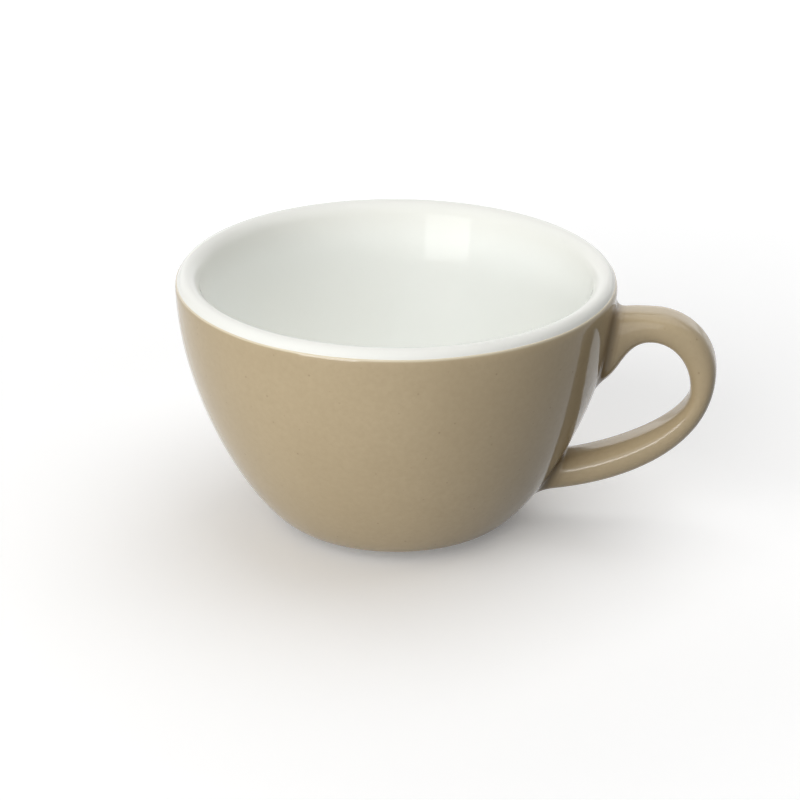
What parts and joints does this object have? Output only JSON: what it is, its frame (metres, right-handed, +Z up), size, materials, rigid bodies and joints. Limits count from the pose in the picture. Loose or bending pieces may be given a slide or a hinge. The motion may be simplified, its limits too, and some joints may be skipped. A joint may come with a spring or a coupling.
{
  "type": "flat white cup",
  "caption": "Round-bellied ceramic coffee cup on a low foot ring, white inside and over the thick lip, taupe outside, with a strap loop handle.",
  "frame": {"origin": "centre of the foot ring's standing face, on the bowl's axis at the table", "axes": "+Z up along the bowl's axis, +X from the axis towards the handle"},
  "size_m": [0.1097, 0.089, 0.054],
  "materials": {
    "porcelain": "fired porcelain body, bare and matt where it shows at the foot",
    "white_glaze": "clear gloss glaze over white",
    "taupe_glaze": "opaque gloss taupe glaze"
  },
  "bodies": {
    "root": {"bowl_body": "porcelain", "handle_body": "porcelain", "upper_slip_joint": "porcelain", "lower_slip_joint": "porcelain", "inner_glaze": "white_glaze", "outer_glaze": "taupe_glaze", "handle_glaze": "taupe_glaze", "base_glaze": "taupe_glaze"}
  },
  "joints": []
}
